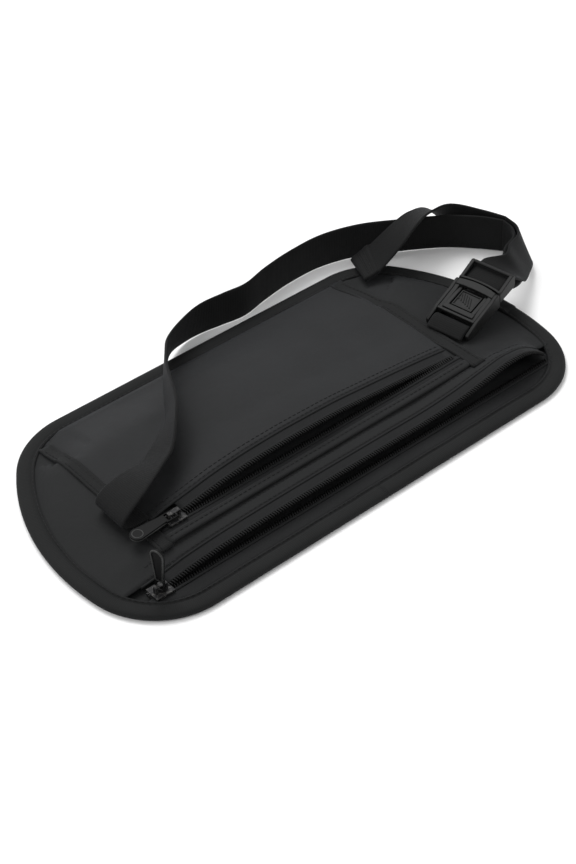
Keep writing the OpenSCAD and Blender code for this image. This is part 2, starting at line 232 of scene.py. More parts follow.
# ---------------------------------------------------------------- mesh helpers
def add_mesh(name, verts_mm, faces, material, uv=None, smooth=True):
    mesh = bpy.data.meshes.new(name)
    mesh.from_pydata([tuple(float(c) * MM for c in v) for v in verts_mm], [], faces)
    mesh.validate()
    mesh.materials.append(material)
    if uv is not None:
        layer = mesh.uv_layers.new(name="mm")
        for loop in mesh.loops:
            layer.data[loop.index].uv = uv[loop.vertex_index]
    mesh.polygons.foreach_set("use_smooth", [smooth] * len(mesh.polygons))
    obj = bpy.data.objects.new(name, mesh)
    bpy.context.scene.collection.objects.link(obj)
    fix = bmesh.new()
    fix.from_mesh(mesh)
    bmesh.ops.recalc_face_normals(fix, faces=fix.faces)
    fix.to_mesh(mesh)
    fix.free()
    return obj


def swept_faces(n, m, closed_path=False, closed_profile=True, base=0):
    """Quads between n rings of m points each, numbered from base."""
    faces = []
    for i in range(n if closed_path else n - 1):
        a, b = base + i * m, base + (i + 1) % n * m
        for j in range(m if closed_profile else m - 1):
            k = (j + 1) % m
            faces.append((a + j, b + j, b + k, a + k))
    return faces


def end_caps(n, m):
    """The first and the last of n rings of m points, as faces."""
    return [tuple(range(m)), tuple((n - 1) * m + j for j in reversed(range(m)))]


def distances(path):
    """How far along a path each of its points is."""
    return np.concatenate([[0], np.cumsum(np.linalg.norm(np.diff(path, axis=0), axis=1))])


def circle(r, a0, a1, n):
    """Points of an arc round the origin."""
    return [(r * math.cos(a), r * math.sin(a)) for a in np.linspace(a0, a1, n)]


def smoothstep(a, b, x):
    t = np.clip((np.asarray(x, float) - a) / (b - a), 0, 1)
    return t * t * (3 - 2 * t)


def curve_value(table, x):
    """A smooth curve through (x, value) pairs."""
    xs = np.array([p[0] for p in table], float)
    ys = np.array([p[1] for p in table], float)
    slope = np.gradient(ys, xs)
    i = np.clip(np.searchsorted(xs, x) - 1, 0, len(xs) - 2)
    h = xs[i + 1] - xs[i]
    t = np.clip((x - xs[i]) / h, 0, 1)
    return ((2 * t**3 - 3 * t**2 + 1) * ys[i] + (t**3 - 2 * t**2 + t) * h * slope[i]
            + (-2 * t**3 + 3 * t**2) * ys[i + 1] + (t**3 - t**2) * h * slope[i + 1])


def noise2(x, y, scale, seed=0.0):
    """Smooth noise over an array of points, from about -1 to 1."""
    flat = [noise.noise(Vector((a * scale, b * scale, seed))) for a, b in zip(np.ravel(x), np.ravel(y))]
    return np.array(flat).reshape(np.shape(x)) * 1.6


# ---------------------------------------------------------------- the pouch's outline
# the arcs of each end, as centre x, centre y and radius, and the angles at which they meet
NEAR, SIDE, FAR = (94.82, -28.0, 38.0), (24.0, -15.0, 110.0), (80.74, 26.0, 40.0)
NEAR_A, FAR_A = math.radians(-10.4), math.radians(35.85)
HALF_W = 66.0


def outline(inset):
    """The closed edge, counter-clockwise from the middle of the near side, moved inwards."""
    points = []

    def line(a, b, n):
        for i in range(n):
            points.append((a[0] + (b[0] - a[0]) * i / n, a[1] + (b[1] - a[1]) * i / n))

    def arc(c, a0, a1, n, mirror):
        for i in range(n):
            a = a0 + (a1 - a0) * i / n
            x = c[0] + (c[2] - inset) * math.cos(a)
            points.append((-x if mirror else x, c[1] + (c[2] - inset) * math.sin(a)))

    low, high = -HALF_W + inset, HALF_W - inset
    line((0, low), (NEAR[0], low), 40)
    arc(NEAR, -math.pi / 2, NEAR_A, 24, False)
    arc(SIDE, NEAR_A, FAR_A, 36, False)
    arc(FAR, FAR_A, math.pi / 2, 18, False)
    line((FAR[0], high), (-FAR[0], high), 70)
    arc(FAR, math.pi / 2, FAR_A, 18, True)
    arc(SIDE, FAR_A, NEAR_A, 36, True)
    arc(NEAR, NEAR_A, -math.pi / 2, 24, True)
    line((-NEAR[0], low), (0, low), 40)
    return np.array(points)


def depth_in(x, y):
    """How far inside the edge a point is, in millimetres."""
    x, y = np.abs(np.asarray(x, float)), np.asarray(y, float)
    d = np.minimum(y + HALF_W, HALF_W - y)
    d = np.minimum(d, SIDE[2] - np.hypot(x - SIDE[0], y - SIDE[1]))
    near = (x > NEAR[0]) & (y < NEAR[1] + (x - NEAR[0]) * math.tan(NEAR_A))
    far = (x > FAR[0]) & (y > FAR[1] + (x - FAR[0]) * math.tan(FAR_A))
    d = np.where(near, NEAR[2] - np.hypot(x - NEAR[0], y - NEAR[1]), d)
    return np.where(far, FAR[2] - np.hypot(x - FAR[0], y - FAR[1]), d)


def end_depth(x, y):
    """How far inside the two ends a point is, leaving the long straight sides out."""
    x, y = np.abs(np.asarray(x, float)), np.asarray(y, float)
    near = (x > NEAR[0]) & (y < NEAR[1] + (x - NEAR[0]) * math.tan(NEAR_A))
    far = (x > FAR[0]) & (y > FAR[1] + (x - FAR[0]) * math.tan(FAR_A))
    d = SIDE[2] - np.hypot(np.maximum(x - SIDE[0], 0), y * 0.6 + 0.4 * SIDE[1] - SIDE[1])
    d = np.where(x < SIDE[0], 80.0, d)
    d = np.where(near, np.minimum(d, NEAR[2] - np.hypot(x - NEAR[0], y - NEAR[1])), d)
    return np.where(far, np.minimum(d, FAR[2] - np.hypot(x - FAR[0], y - FAR[1])), d)


# ---------------------------------------------------------------- the panels' heights
FOLD_Y, MAIN_ZIP_Y = -41.0, -47.5
PATCH_FOLD_Y, PATCH_ZIP_Y, HEM_Y = -18.0, -24.5, -31.0
FAR_SEAM_Y = 57.5
LEFT_TAPE, RIGHT_TAPE = (-99.0, -92.3), (79.0, 86.5)
RIM_Z = 3.1
# the heights of the two open lips along X
MAIN_LIP = [(-118, 3.3), (-109, 3.7), (-103, 4.6), (-95, 6.0), (-80, 7.6), (-55, 8.5), (-20, 8.8),
            (20, 8.5), (46, 8.6), (62, 9.8), (78, 12.4), (92, 14.6), (103, 13.6), (111, 9.4), (118, 3.6)]
PATCH_LIP = [(-93, 8.8), (-84, 10.7), (-72, 12.6), (-60, 14.8), (-43, 16.6), (-22, 17.3), (3, 16.8),
             (26, 15.0), (48, 12.8), (66, 10.8), (80, 8.8)]


def right_kink(y):
    """The right side tape runs a few millimetres to one side over its far part."""
    return -3.2 * smoothstep(22, 31, y)


def front_z(x, y):
    """The outer surface of the front panel."""
    x, y = np.asarray(x, float), np.asarray(y, float)
    side = end_depth(x, y) - 8.9
    reach = np.where(x > 0, 38, 27)
    crown = np.sin(np.clip(side / reach, 0, 1) * math.pi / 2)
    back = smoothstep(FAR_SEAM_Y, 30, y) ** 0.8
    base = RIM_Z + 5.4 * crown * back
    # the panel leaves the binding low all round
    base = np.minimum(base, RIM_Z - 0.55 + 0.66 * np.maximum(depth_in(x, y) - 7.2, 0))
    # under the patch pocket the panel lies a little lower
    under = smoothstep(-92, -80, x) * smoothstep(79, 68, x) * smoothstep(-12, 4, y)
    base = base - 1.3 * under * smoothstep(58, 30, y)
    # a soft ridge carries the patch pocket's lower tape
    ridge = smoothstep(-104, -90, x) * smoothstep(90, 78, x)
    base = base + 1.35 * ridge * smoothstep(-37, -30, y) * smoothstep(-12, -20, y)
    lip = curve_value(MAIN_LIP, x)
    away = smoothstep(-29, -46, y)
    waves = 0.18 * noise2(x, y, 0.045, 3.0) * smoothstep(9, 18, depth_in(x, y))
    return base * (1 - away) + lip * away + waves


def patch_z(x, y):
    """The outer surface of the patch pocket."""
    x, y = np.asarray(x, float), np.asarray(y, float)
    t = np.clip((y - PATCH_FOLD_Y) / (FAR_SEAM_Y - PATCH_FOLD_Y), 0, 1)
    fall = np.cos(t * math.pi / 2) ** 1.25
    rise = np.maximum(curve_value(PATCH_LIP, x) - 8.5, 0)
    share = np.clip((x - LEFT_TAPE[1]) / (RIGHT_TAPE[0] - LEFT_TAPE[1]), 0, 1)
    bulge = np.sin(share * math.pi) * 3.2 * np.sin(t * math.pi) ** 1.2 * 0.55
    base = front_z(x, np.maximum(y, -14)) + 0.9 * smoothstep(-96, -80, x) * smoothstep(83, 76, x)
    height = base + rise * fall + bulge
    crease = 0.3 * noise2(x * 0.6 + y * 0.5, y * 1.2 - x * 0.2, 0.05, 9.0)
    # broad slack folds that run down from the far edge towards the mouth
    crease = crease - 0.9 * np.exp(-((x * 0.8 - y * 0.6 + 52) / 9) ** 2)
    crease = crease + 0.6 * np.exp(-((x * 0.8 - y * 0.6 + 30) / 11) ** 2)
    crease = crease - 0.6 * np.exp(-((x * 0.9 + y * 0.45 - 40) / 12) ** 2)
    inside = smoothstep(-92, -80, x) * smoothstep(79, 66, x)
    return height + crease * np.sin(t * math.pi) * inside


def shell(name, xs, ys, height, keep, material, thickness, lining=None):
    """A thick cloth sheet over the grid xs by ys, where keep(x, y) is true."""
    gx, gy = np.meshgrid(xs, ys, indexing="ij")
    gz = height(gx, gy)
    ok = keep(gx, gy)
    nx, ny = gx.shape
    dzx = np.gradient(gz, xs, axis=0)
    dzy = np.gradient(gz, ys, axis=1)
    length = np.sqrt(dzx**2 + dzy**2 + 1)
    lower = np.stack([gx + dzx / length * thickness, gy + dzy / length * thickness,
                      gz - thickness / length], -1)
    upper = np.stack([gx, gy, gz], -1)
    index = -np.ones((nx, ny), int)
    index[ok] = np.arange(ok.sum())
    count = int(ok.sum())
    verts = np.concatenate([upper[ok], lower[ok]])
    top, under, edges = [], [], {}
    for i in range(nx - 1):
        for j in range(ny - 1):
            q = [index[i, j], index[i + 1, j], index[i + 1, j + 1], index[i, j + 1]]
            if min(q) < 0:
                continue
            top.append(tuple(q))
            under.append(tuple(a + count for a in reversed(q)))
            for a, b in zip(q, q[1:] + q[:1]):
                edges[(a, b)] = True
    rim = [(b, a, a + count, b + count) for a, b in edges if (b, a) not in edges]
    obj = add_mesh(name, verts, top + under + rim, material)
    if lining is not None:
        obj.data.materials.append(lining)
        for polygon in obj.data.polygons[len(top):len(top) + len(under)]:
            polygon.material_index = 1
    return obj


def cut_in_two(obj, point_mm, normal, above_name):
    """Cuts obj by a plane. Returns the part below, which keeps obj's name, and the part above."""
    upper = obj.copy()
    upper.data = obj.data.copy()
    upper.name = upper.data.name = above_name
    bpy.context.scene.collection.objects.link(upper)
    for piece, flags in ((obj, {"clear_outer": True}), (upper, {"clear_inner": True})):
        bm = bmesh.new()
        bm.from_mesh(piece.data)
        bmesh.ops.bisect_plane(bm, geom=bm.verts[:] + bm.edges[:] + bm.faces[:], dist=1e-7,
                               plane_co=Vector(point_mm) * MM, plane_no=Vector(normal), **flags)
        bm.to_mesh(piece.data)
        bm.free()
    return obj, upper


def grid_values(a, b, step, extra=()):
    values = list(np.linspace(a, b, max(2, round((b - a) / step) + 1))) + list(extra)
    return np.array(sorted(set(round(v, 4) for v in values)))


# ---------------------------------------------------------------- strips, stitches and coils
def frames(path):
    """Unit tangents along a path."""
    tangent = np.gradient(path, axis=0)
    return tangent / np.maximum(np.linalg.norm(tangent, axis=1, keepdims=True), 1e-9)


def strip(name, path, across, profile, material):
    """Sweeps a cross-section along a path. across is the direction of the strip's width at each
    point, and profile holds (width, height) points of the closed cross-section."""
    path, across = np.array(path, float), np.array(across, float)
    tangent = frames(path)
    across = across / np.linalg.norm(across, axis=1, keepdims=True)
    up = np.cross(tangent, across)
    up = up / np.linalg.norm(up, axis=1, keepdims=True)
    up = np.where(up[:, 2:3] < 0, -up, up) if abs(up[:, 2]).min() > 0.05 else up
    profile = np.array(profile, float)
    n, m = len(path), len(profile)
    verts = (path[:, None] + across[:, None] * profile[None, :, 0:1] + up[:, None] * profile[None, :, 1:2])
    uv = [(along, girth) for along in distances(path) for girth in distances(profile)]
    faces = swept_faces(n, m) + end_caps(n, m)
    return add_mesh(name, verts.reshape(-1, 3), faces, material, uv)


def stitches(name, path, up=(0, 0, 1), pitch=2.6, length=2.1, radius=0.15):
    """A row of sewn stitches along a path, each a short raised thread with its ends sunk in."""
    path = np.array(path, float)
    along = distances(path)
    verts, faces = [], []
    up = np.array(up, float)
    sides = 5
    # place along the stitch, thickness and lift of each ring
    rings = [(-0.5, 0.35, -0.9), (-0.3, 1.0, 0.1), (0.0, 1.1, 0.45), (0.3, 1.0, 0.1), (0.5, 0.35, -0.9)]
    for s in range(int(along[-1] / pitch)):
        faces += swept_faces(len(rings), sides, base=len(verts))
        for offset, fat, lift in rings:
            at = s * pitch + pitch / 2 + offset * length
            p = np.array([np.interp(at, along, path[:, k]) for k in range(3)])
            q = np.array([np.interp(at + 0.3, along, path[:, k]) for k in range(3)])
            t = q - p
            t = t / max(np.linalg.norm(t), 1e-9)
            side = np.cross(t, up)
            side = side / max(np.linalg.norm(side), 1e-9)
            for k in range(sides):
                a = 2 * math.pi * k / sides
                verts.append(p + radius * (lift * up + fat * (math.cos(a) * side + math.sin(a) * up)))
    return add_mesh(name, verts, faces, M_THREAD)


def coil(name, path, side, pitch=1.25, half_width=1.0, half_height=0.55, wire=0.3):
    """A flattened nylon coil along a path."""
    path = np.array(path, float)
    along = distances(path)
    turns = int(along[-1] / pitch)
    per, sides = ((12, 5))
    s = np.arange(turns * per) / per
    at = s * pitch
    centre = np.stack([np.interp(at, along, path[:, k]) for k in range(3)], -1)
    tangent = frames(centre)
    lateral = np.array([0, 1.0, 0]) - tangent * tangent[:, 1:2]
    lateral /= np.linalg.norm(lateral, axis=1, keepdims=True)
    up = np.cross(tangent, lateral)
    angle = 2 * math.pi * s
    line = centre + lateral * (np.cos(angle) * half_width * side)[:, None]
    line = line + up * (np.sin(angle) * half_height)[:, None]
    verts = []
    t = frames(line)
    radial = line - centre
    radial -= t * np.sum(radial * t, 1, keepdims=True)
    radial /= np.linalg.norm(radial, axis=1, keepdims=True)
    binormal = np.cross(t, radial)
    for k in range(sides):
        a = 2 * math.pi * k / sides
        verts.append(line + wire * (math.cos(a) * radial + math.sin(a) * binormal))
    verts = np.stack(verts, 1).reshape(-1, 3)
    return add_mesh(name, verts, swept_faces(len(line), sides), M_COIL)


# ---------------------------------------------------------------- webbing
def spline(points, k):
    """A smooth curve through the points, with k steps between each two."""
    p = np.array(points, float)
    n = len(p) - 1
    out = []
    for i in range(n):
        a, b, c, d = p[max(i - 1, 0)], p[i], p[i + 1], p[min(i + 2, n)]
        for j in range(k):
            t = j / k
            out.append(0.5 * (2 * b + (c - a) * t + (2 * a - 5 * b + 4 * c - d) * t * t
                              + (3 * b - a - 3 * c + d) * t**3))
    out.append(p[-1])
    return np.array(out)


STRAP_W = 20.0


def webbing(name, low, high, k=8, thick=1.3, wobble=0.0, seed=0.0, u0=0.0):
    """A flat woven strap between its two edges, with rounded selvedges."""
    e0, e1 = spline(low, k), spline(high, k)
    mid = (e0 + e1) / 2
    wide = e1 - e0
    tangent = frames(mid)
    face = np.cross(tangent, wide)
    face /= np.linalg.norm(face, axis=1, keepdims=True)
    along = distances(mid)
    cross = 14
    v = (1 - np.cos(np.linspace(0, math.pi, cross + 1))) / 2
    v = 0.5 * v + 0.5 * np.linspace(0, 1, cross + 1)
    fat = np.clip(1 - (np.abs(v - 0.5) * 2) ** 14, 0.0, 1) ** 0.5
    # a slightly thicker woven selvedge just inside each edge
    fat = fat * (1 + 0.22 * np.exp(-(((np.abs(v - 0.5) * 2) - 0.9) / 0.05) ** 2))
    ring = [(a, f) for a, f in zip(v, fat)] + [(a, -f) for a, f in zip(v[-2:0:-1], fat[-2:0:-1])]
    m, n = len(ring), len(mid)
    verts, uv = [], []
    for i in range(n):
        for a, f in ring:
            p = e0[i] + wide[i] * a + face[i] * f * thick / 2
            if wobble:
                p = p + face[i] * wobble * noise.noise(Vector((along[i] * 0.03, a * 0.8, seed)))
            verts.append(p)
            uv.append((u0 + along[i], a * STRAP_W))
    return add_mesh(name, verts, swept_faces(n, m) + end_caps(n, m), M_WEB, uv)


def place(obj, body="pouch", nodes=()):
    """Fixes a piece to a body, and hides the CAD nodes that it stands for."""
    if nodes:
        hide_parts(*nodes)
    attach(obj, body)
    return obj


# ---------------------------------------------------------------- pouch: binding and back
def build_binding():
    """The ribbon folded round the whole outline, a little wavy along its inner edge."""
    inset0 = outline(0.0)
    inner = outline(8.0)
    across = np.concatenate([(inner - inset0), np.zeros((len(inner), 1))], 1)
    x, y = inset0[:, 0], inset0[:, 1]
    profile = [(8.3, 2.4), (8.3, 3.2), (8.1, 3.6), (7.75, 3.82), (7.3, 3.8), (6.95, 3.5), (6.7, 3.2),
               (6.4, 3.16), (6.0, 3.35), (5.0, 3.5), (3.6, 3.6), (2.4, 3.55), (1.3, 3.3), (0.55, 2.85),
               (0.12, 2.2), (0.05, 1.5), (0.3, 0.8), (0.9, 0.35), (1.8, 0.15), (4.0, 0.1), (6.6, 0.1),
               (7.4, 0.25), (7.8, 0.5), (7.8, 1.2)]
    n, m = len(inset0), len(profile)
    across = across / np.linalg.norm(across, axis=1, keepdims=True)
    verts, uv = [], []
    girth = distances(np.array(profile))

    def ripple(size, at, seed):
        return size * noise.noise(Vector((at, seed, 0)))

    for i, a in enumerate(distances(inset0)):
        wave = ripple(0.25, a * 0.06, 2.0) + ripple(0.12, a * 0.3, 5.0)
        lift = ripple(0.3, a * 0.05, 9.0) + ripple(0.1, a * 0.45, 12.0)
        for j, (w, z) in enumerate(profile):
            top = z > 2.4
            d = w + (wave if w > 5.5 and top else 0)
            px, py = x[i] + across[i, 0] * d, y[i] + across[i, 1] * d
            verts.append((px, py, max(z + (lift * min(1.0, w / 4) if top else 0), 0.05)))
            uv.append((a, girth[j]))
    return add_mesh("edge_binding_cloth", verts, swept_faces(n, m, True, False), M_BIND, uv)


place(build_binding(), "pouch", ["edge_binding"])
place(stitches("edge_binding_stitches", [(x, y, 3.83) for x, y in outline(7.35)], radius=0.13))


def build_lap():
    """The binding's end, folded over its beginning at the pouch's right end."""
    profile = [(8.6, 2.8), (8.5, 3.9), (7.8, 4.45), (7.1, 4.3), (6.5, 3.8), (5.2, 4.05), (4.0, 4.15),
               (2.6, 4.1), (1.2, 3.8), (0.3, 3.2), (-0.35, 2.3), (-0.4, 1.4), (0.0, 0.6), (0.9, 0.1)]
    angles = np.linspace(math.radians(1.5), math.radians(8.5), 12)
    verts, uv = [], []
    n, m = len(angles), len(profile)
    for i, a in enumerate(angles):
        sink = 0.5 if i in (0, n - 1) else 0.0
        for j, (w, z) in enumerate(profile):
            d = w + (sink if w < 1 else 0)
            verts.append((SIDE[0] + (SIDE[2] - d) * math.cos(a), SIDE[1] + (SIDE[2] - d) * math.sin(a),
                          max(z - (sink if z > 2 else 0), 0.05)))
            uv.append((a * SIDE[2], j * 1.1))
    return add_mesh("edge_binding_lap", verts, swept_faces(n, m, False, False), M_BIND, uv)


place(build_lap(), "pouch")

# the cloth grid's spacing and the panels' thickness
STEP = 2.2
CLOTH = 0.55
back = shell("back_panel_cloth", grid_values(-133, 133, STEP * 1.5), grid_values(-65, 65, STEP * 1.5),
             lambda x, y: 0.75 + 0.1 * noise2(x, y, 0.05, 1.0), lambda x, y: depth_in(x, y) > 4.6,
             M_PANEL, CLOTH, M_PANEL)
place(back, "pouch", ["back_panel"])

# ---------------------------------------------------------------- front panel and main zip's lip
LIP_POINT, LIP_NORMAL = (0, MAIN_ZIP_Y, 3.3), Vector((0, -0.365, 0.931)).normalized()
front = shell("front_panel_cloth", grid_values(-133, 133, STEP), grid_values(FOLD_Y, 64, STEP),
              front_z, lambda x, y: depth_in(x, y) > 2.6, M_PANEL, CLOTH, M_LINING)
front, front_lip = cut_in_two(front, LIP_POINT, LIP_NORMAL, "front_panel_lip")
place(front, "pouch", ["front_panel"])


def lip_path(x0, x1, y, height, lift=0.0):
    """A line along X that follows a height."""
    return [(x, y, float(height(x, y)) + lift) for x in grid_values(x0, x1, 2.0)]


squashed = []


def lip_piece(obj, nodes=()):
    """A piece of the main pocket's lip, listed with the main zip's slide, though nothing here lowers it as
    the zip closes.
    """
    place(obj, "pouch", nodes)
    squashed.append((obj, "main_zip_slide", LIP_NORMAL, LIP_POINT))


lip_piece(front_lip)


def flat_strip(name, x0, x1, y0, y1, height, material, thick, drop=0.0, rows=5):
    """A flat tape from y0 to y1 that follows a height."""
    return shell(name, grid_values(x0, x1, 2.5), np.linspace(y0, y1, rows),
                 lambda x, y: height(x, y) - drop, lambda x, y: depth_in(x, y) > 6.4, material, thick)


def ridge(name, path, lean=0.0):
    """The woven ridge along a zip tape's edge, leaning a little towards +Y or -Y."""
    profile = [(-0.725 + lean, 0), (-0.4, 0.3), (0.1, 0.42), (0.5, 0.3), (0.725 + lean, 0)]
    return strip(name, path, [(0, 1, 0)] * len(path), profile, M_ZIPTAPE)


MAIN_END = 117.0
upper_tape = flat_strip("main_zip_upper_tape_cloth", -104.2, MAIN_END, -47.4, FOLD_Y + 1.0,
                        front_z, M_ZIPTAPE, 0.4, 0.5)
lip_piece(upper_tape, ["main_zip_upper_tape"])
coil_path = [(-111.5, -47.1, 3.0), (-109.5, -47.1, 3.2), (-107.5, -47.1, 3.6)]
coil_path += lip_path(-104.2, MAIN_END - 3, -47.4, front_z, -0.55)
upper_coil = coil("main_zip_upper_coil_wire", coil_path, 1)
lip_piece(upper_coil, ["main_zip_upper_coil"])
lip_piece(stitches("main_zip_fold_stitches", lip_path(-111, 113, FOLD_Y + 1.2, front_z, 0.1)))
lip_piece(stitches("main_zip_fold_stitches_inner", lip_path(-108, 110, FOLD_Y + 5.8, front_z, 0.1)))
lip_piece(ridge("main_zip_upper_tape_ridge", lip_path(-104, MAIN_END - 4, -46.2, front_z, -0.42), 0.025))


def fold_edge(name, x0, x1, y, height, radius=0.55):
    """The rounded edge of a folded hem."""
    path = lip_path(x0, x1, y, height, -radius * 0.75)
    return strip(name, path, [(0, 1, 0)] * len(path), circle(radius, 0, 2 * math.pi, 10)[:-1], M_PANEL)


lip_piece(fold_edge("main_zip_fold", -114, 116, FOLD_Y, front_z))


def lower_z(x, y):
    """The main zip's lower tape, a little higher where it meets the binding."""
    return 2.75 + 0.25 * smoothstep(-52, -59, y) + 0.1 * noise2(x, y, 0.05, 5.0)


lower_tape = flat_strip("main_zip_lower_tape_cloth", -122, 122, -60.5, -48.2, lower_z, M_ZIPTAPE, 0.45,
                        rows=7)
place(lower_tape, "pouch", ["main_zip_lower_tape"])
lower_coil = coil("main_zip_lower_coil_wire", [(x, -48.5, 2.75) for x in grid_values(-113, 116, 2.0)], -1)
place(lower_coil, "pouch", ["main_zip_lower_coil"])
place(ridge("main_zip_lower_tape_ridge", [(x, -50.4, 2.95) for x in grid_values(-117, 117, 2.0)], -0.025))

# ---------------------------------------------------------------- patch pocket
PATCH_POINT, PATCH_NORMAL = (0, PATCH_FOLD_Y, 10.9), Vector((0, 0.047, 0.9989)).normalized()


def on_patch(x, y):
    """Where the patch panel has cloth: up to the middle of the kinked right side tape."""
    return (depth_in(x, y) > 6.2) & (x < RIGHT_TAPE[0] + 2.5 + right_kink(y))


patch = shell("patch_panel_cloth", grid_values(LEFT_TAPE[1] - 3, RIGHT_TAPE[0] + 3, STEP),
              grid_values(PATCH_FOLD_Y, 60, STEP), patch_z, on_patch, M_PATCH_PARTLY_PAINTED_LIGHT, CLOTH, M_LINING)
patch, patch_lip = cut_in_two(patch, PATCH_POINT, PATCH_NORMAL, "patch_panel_lip")
place(patch, "pouch", ["patch_panel"])


def patch_piece(obj, nodes=()):
    """A piece of the patch pocket's lip, listed with the patch zip's slide, though nothing here lowers it as
    the zip closes.
    """
    place(obj, "pouch", nodes)
    squashed.append((obj, "patch_zip_slide", PATCH_NORMAL, PATCH_POINT))


patch_piece(patch_lip)


def patch_tape_z(x, y):
    """The upper tape carries the patch panel's lip on towards the coil."""
    return patch_z(x, np.maximum(y, PATCH_FOLD_Y)) - 0.05 * np.maximum(PATCH_FOLD_Y - y, 0)


patch_tape = flat_strip("patch_zip_upper_tape_cloth", -79.0, 78.0, -24.3, PATCH_FOLD_Y + 1,
                        patch_tape_z, M_ZIPTAPE, 0.4, 0.55)
patch_piece(patch_tape, ["patch_zip_upper_tape"])
coil_path = [(-87.5, -24.1, 10.5), (-84.5, -24.1, 10.8), (-82, -24.1, 11.0)]
coil_path += lip_path(-79.0, 77.0, -24.3, patch_tape_z, -0.6)
patch_coil = coil("patch_zip_upper_coil_wire", coil_path, 1)
patch_piece(patch_coil, ["patch_zip_upper_coil"])
patch_piece(ridge("patch_zip_upper_tape_ridge", lip_path(-79, 77, -23.1, patch_tape_z, -0.47), 0.025))
patch_piece(fold_edge("patch_zip_fold", -92, 79, PATCH_FOLD_Y, patch_z))
patch_piece(stitches("patch_zip_fold_stitches", lip_path(-91, 78, PATCH_FOLD_Y + 1.2, patch_z, 0.1)))
patch_piece(stitches("patch_zip_fold_stitches_inner", lip_path(-91, 78, PATCH_FOLD_Y + 3.4, patch_z, 0.1)))


def hem_z(x, y):
    """Where the patch zip's lower tape and its hem lie on the front panel."""
    return np.maximum(front_z(x, y) + 0.5, 9.9 * smoothstep(-96, -90, x) * smoothstep(84, 78, x))


patch_lower = flat_strip("patch_zip_lower_tape_cloth", -93, 80, HEM_Y, -25.4,
                         lambda x, y: hem_z(x, y) + 0.35, M_ZIPTAPE, 0.9)
place(patch_lower, "pouch", ["patch_zip_lower_tape"])
patch_lower_coil = coil("patch_zip_lower_coil_wire", lip_path(-88, 78, -25.5, hem_z, 0.5), -1)
place(patch_lower_coil, "pouch", ["patch_zip_lower_coil"])
place(ridge("patch_zip_lower_tape_ridge", lip_path(-92, 79, -27.3, hem_z, 0.42), -0.025))
hem = flat_strip("patch_zip_hem_cloth", -93, 80, -34.5, HEM_Y + 0.8,
                 lambda x, y: hem_z(x, y) + 0.85 * smoothstep(-34.5, -33.6, y), M_PANEL, 1.0, rows=9)
place(hem)
place(stitches("patch_zip_hem_stitches", lip_path(-92, 79, HEM_Y - 0.6, hem_z, 0.95)))


# ---------------------------------------------------------------- side tapes
def side_strip(name, x0, x1, y0, y1, kink):
    """A tape over a side seam, with a thick turned edge. Returns it and its middle line."""
    ys = [y for y in grid_values(y0, y1, 2.0) if float(depth_in(x0, y)) > 6.6 or y < 0]
    width = x1 - x0
    mid = (x0 + x1) / 2
    path, across = [], []
    for y in ys:
        shift = float(kink(y))
        za = float(front_z(x0 + shift, y))
        zb = float(front_z(x1 + shift, y))
        path.append((mid + shift, y, max(za, zb) + 0.12))
        across.append((width, 0, (zb - za) * 0.8))
    heights = np.array([p[2] for p in path])
    padded = np.concatenate([[heights[0]] * 3, heights, [heights[-1]] * 3])
    heights = np.maximum(np.convolve(padded, np.ones(7) / 7, "valid"), heights - 0.35)
    path = [(p[0], p[1], float(z)) for p, z in zip(path, heights)]
    w = width / 2
    profile = [(-w, -1.0), (-w - 0.05, 0.665), (-w + 0.35, 0.95), (-w + 1.0, 0.9025), (-w + 1.5, 0.55),
               (0, 0.7), (w - 1.5, 0.6), (w - 0.8, 0.85), (w - 0.2, 0.7), (w, 0.0), (w, -1.0)]
    return strip(name, path, across, profile, M_BIND), path


left_strip, left_path = side_strip("left_side_tape_cloth", *LEFT_TAPE, -35.0, 58.5, lambda y: 0.0)
right_strip, right_path = side_strip("right_side_tape_cloth", *RIGHT_TAPE, -36.5, 58.5, right_kink)
place(left_strip, "pouch", ["left_side_tape"])
place(right_strip, "pouch", ["right_side_tape"])
for side, path, half in (("left", left_path, 3.35), ("right", right_path, 3.75)):
    for row, offset in enumerate((-half + 1.6, half - 1.7)):
        line = [(x + offset, y, z + 0.66) for x, y, z in path]
        place(stitches(f"{side}_side_tape_stitches_{row + 1}", line))

# ---------------------------------------------------------------- waist strap
# the strap's two edges, from the left seam to the buckle's plug, and then its tail's
STRAP_LOW = [[-91.5, 2, 10.4], [-98, 2, 10.4], [-103, 2, 11.6], [-104.4, 2, 14.2], [-102.5, 2.4, 16.8],
             [-97, 3.6, 18], [-87, 6, 17], [-76, 8, 14.6], [-66, 13, 15], [-52, 22.5, 13.4], [-41, 37, 10.2],
             [-32, 50, 7.6], [-23, 60.5, 5.6], [-14, 69, 3], [-4, 73, 0.9], [8, 74, 0.2], [20, 72.5, 0.2],
             [33, 71, 0.2], [48, 74, 0.2], [66, 76.5, 0.2], [86, 76.5, 0.2], [106, 71, 0.2], [124, 61, 0.2],
             [136, 53.8, 0.2], [147, 46, 0.2], [157, 36, 0.2], [164.5, 27, 0.2]]
STRAP_HIGH = [[-91.5, -18, 10.4], [-98, -18, 10.4], [-103, -18, 11.6], [-104.4, -18, 14.2],
              [-102.5, -17.6, 17], [-97, -16.2, 19.6], [-87, -13, 22.4], [-76, -8.6, 25], [-66, -3, 27],
              [-52, 13, 31], [-42.5, 29, 28.3], [-35, 42.5, 25.3], [-27.5, 53, 22.8], [-19.5, 62, 19.8],
              [-8, 68, 19.6], [6, 72, 20], [20, 71.5, 20], [33, 70.5, 20], [48, 74, 20], [66, 76.5, 20],
              [86, 76.5, 20], [106, 71, 20], [124, 61, 20], [136, 53.8, 20], [147, 46, 20], [157, 36, 20],
              [163, 27, 20]]
BEND_LOW = [[164.5, 27, 0.2], [167, 17, 0.7], [163, 8.5, 2], [154, 1.5, 4.5], [143, -5, 8.5],
            [133.5, -9.6, 13.2], [128.6, -10.8, 15.8]]
